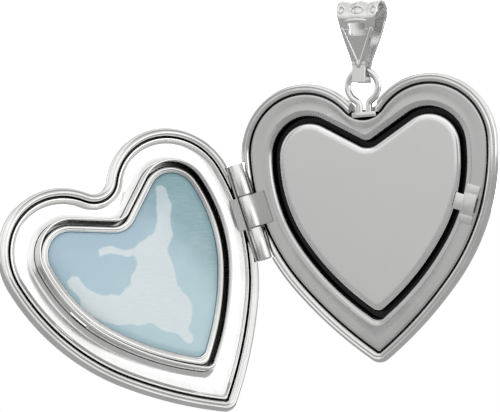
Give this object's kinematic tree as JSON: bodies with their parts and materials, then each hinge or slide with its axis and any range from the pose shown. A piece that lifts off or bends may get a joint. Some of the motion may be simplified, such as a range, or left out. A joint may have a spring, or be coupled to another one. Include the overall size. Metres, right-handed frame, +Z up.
{
  "type": "locket pendant",
  "caption": "Heart locket hanging open from a tapered bail: domed back half with a satin plate, hinged cover set with a domed blue stone, keyhole hanging ring and snap catch.",
  "frame": {"origin": "middle of the bail's chain loop, on the line of the chain", "axes": "+X along the chain, +Z up through the bail, the insides of both halves face -Y"},
  "size_m": [0.0369, 0.0195, 0.0338],
  "materials": {
    "silver": "polished sterling silver",
    "silver_liner": "silver liner, soft polish",
    "silver_satin": "satin silver",
    "silver_bright": "mirror-bright sterling silver",
    "stone": "polished pale blue opaque stone"
  },
  "bodies": {
    "bail": {"bail_strap": "silver", "bail_panel": "silver_bright", "bail_foot": "silver"},
    "back": {"back_shell": "silver", "back_flange": "silver_liner", "back_plate": "silver_satin", "catch_clip": "silver", "hanging_ring": "silver", "back_knuckle": "silver", "back_leaf": "silver", "hinge_pin": "silver"},
    "cover": {"cover_shell": "silver", "cover_channel": "silver_bright", "cover_collar": "silver_liner", "stone_bezel": "silver_bright", "heart_stone": "stone", "stone_seat": "silver", "cover_knuckle_upper": "silver", "cover_knuckle_lower": "silver", "cover_leaf": "silver"},
    "tongue": {"catch_tongue": "silver_bright"}
  },
  "joints": [
    {"name": "pendant_swing", "type": "hinge", "parent": "bail", "child": "back", "pos_m": [0, 0, -0.00431], "axis": [1, 0, 0], "range_deg": [-75, 75]},
    {"name": "cover_hinge", "type": "hinge", "parent": "back", "child": "cover", "pos_m": [-0.00984, -0.00045, -0.01607], "axis": [-0.3289, 0, 0.9444], "range_deg": [0, 131]},
    {"name": "catch_slide", "type": "slide", "parent": "back", "child": "tongue", "axis": [0.9659, 0, -0.2588], "range_m": [0, 0.0006], "stiffness_N_per_m": 300}
  ]
}
